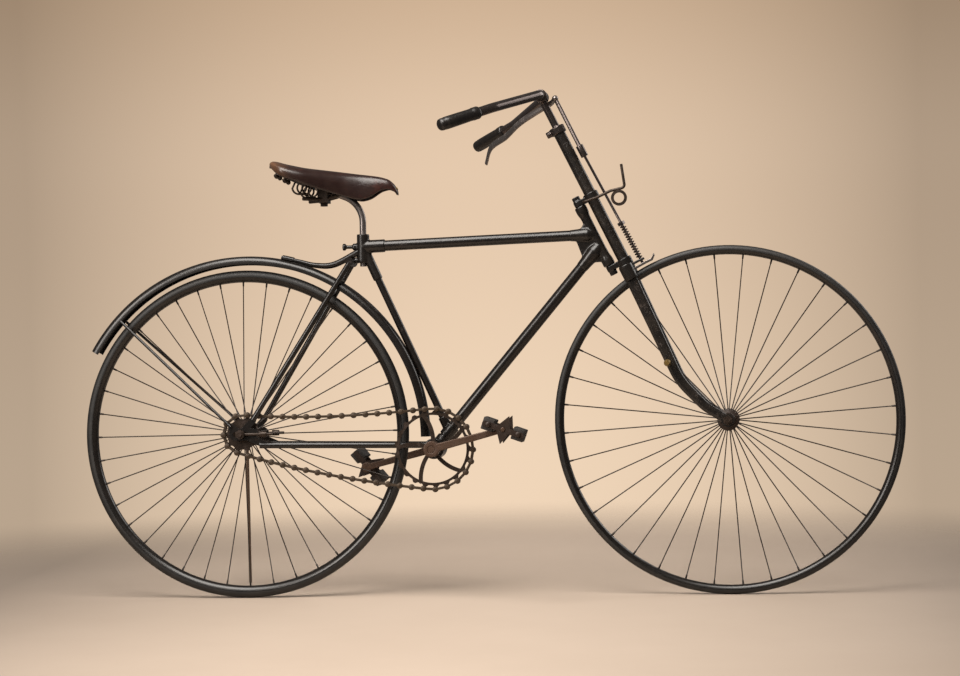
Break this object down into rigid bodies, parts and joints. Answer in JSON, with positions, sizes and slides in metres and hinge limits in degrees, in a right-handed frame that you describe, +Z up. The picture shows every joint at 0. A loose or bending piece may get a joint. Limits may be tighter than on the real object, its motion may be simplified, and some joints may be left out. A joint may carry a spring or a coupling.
{
  "type": "safety bicycle",
  "caption": "Old direct-steering safety bicycle with solid tyres, fixed chain drive, spoon brake, leather saddle and rear mudguard, leaning on a slim prop rod.",
  "frame": {"origin": "on the floor under the middle of the whole bicycle", "axes": "+X forwards, +Y to the rider's left, +Z up"},
  "size_m": [1.7697, 0.5788, 1.0863],
  "materials": {
    "enamel": "worn black enamel with rust showing through",
    "rusted_steel": "brown surface rust on steel",
    "worn_nickel": "worn nickel plate with brown stains",
    "spoke_steel": "dark oxidised wire",
    "chain_steel": "oiled and rusted links",
    "brass": "dull brass",
    "tyre": "aged solid rubber",
    "pedal_rubber": "worn rubber blocks",
    "grip": "dark moulded grip",
    "saddle_leather": "dark oxblood leather, cracked and rubbed"
  },
  "bodies": {
    "frame": {"neck": "enamel", "top_tube": "enamel", "down_tube": "enamel", "seat_tube": "enamel", "seat_lug": "enamel", "seat_tube_foot": "enamel", "bottom_bracket": "enamel", "rear_dropouts": "enamel", "chain_stays": "enamel", "seat_stays": "enamel", "chain_adjusters": "rusted_steel", "rear_axle": "rusted_steel", "mudguard": "enamel", "mudguard_stays": "enamel", "mudguard_rod": "enamel", "seat_post": "worn_nickel", "saddle_leather": "saddle_leather", "saddle_frame": "rusted_steel", "saddle_cantle": "rusted_steel", "saddle_springs": "rusted_steel", "saddle_clamp": "rusted_steel", "chain": "chain_steel", "prop_rod": "rusted_steel"},
    "fork": {"steering_column": "enamel", "steering_arms": "enamel", "handlebar_stem": "worn_nickel", "handlebar_right": "worn_nickel", "handlebar_left": "worn_nickel", "grip_right": "grip", "grip_left": "grip", "brake_lever": "worn_nickel", "brake_rod": "rusted_steel", "brake_spring": "rusted_steel", "brake_spoon": "worn_nickel", "fork_crown": "enamel", "fork_blades": "enamel", "foot_pegs": "brass", "front_axle": "rusted_steel", "lamp_bracket": "rusted_steel"},
    "front_wheel": {"front_tyre": "tyre", "front_rim": "enamel", "front_spokes": "spoke_steel", "front_hub": "rusted_steel"},
    "rear_wheel": {"rear_tyre": "tyre", "rear_rim": "enamel", "rear_spokes": "spoke_steel", "rear_hub": "rusted_steel", "sprocket": "rusted_steel"},
    "cranks": {"crank_axle": "rusted_steel", "chainwheel": "rusted_steel", "crank_right": "rusted_steel", "crank_left": "rusted_steel"},
    "pedal_right": {"pedal_right_frame": "rusted_steel", "pedal_right_rubbers": "pedal_rubber"},
    "pedal_left": {"pedal_left_frame": "rusted_steel", "pedal_left_rubbers": "pedal_rubber"}
  },
  "joints": [
    {"name": "steering", "type": "hinge", "parent": "frame", "child": "fork", "pos_m": [0.23445, -0.01466, 0.7696], "axis": [-0.4384, 0.0314, 0.8982], "range_deg": [-47.5, 52.5]},
    {"name": "front_wheel_spin", "type": "hinge", "parent": "fork", "child": "front_wheel", "pos_m": [0.51309, -0.03186, 0.37203], "axis": [0.0392, 0.9991, -0.0158], "continuous": true},
    {"name": "rear_wheel_spin", "type": "hinge", "parent": "frame", "child": "rear_wheel", "pos_m": [-0.52935, -0.02912, 0.35556], "axis": [0, 0.9994, -0.0349], "continuous": true},
    {"name": "crank_spin", "type": "hinge", "parent": "frame", "child": "cranks", "pos_m": [-0.11706, -0.0304, 0.31878], "axis": [0, 0.9994, -0.0349], "continuous": true},
    {"name": "pedal_right_spin", "type": "hinge", "parent": "cranks", "child": "pedal_right", "pos_m": [0.04413, -0.15787, 0.36495], "axis": [0, 0.9994, -0.0349], "continuous": true},
    {"name": "pedal_left_spin", "type": "hinge", "parent": "cranks", "child": "pedal_left", "pos_m": [-0.27826, 0.09706, 0.27262], "axis": [0, 0.9994, -0.0349], "continuous": true}
  ],
  "couplings": [
    {"joint": "crank_spin", "follows": "rear_wheel_spin", "ratio": 0.47619}
  ]
}
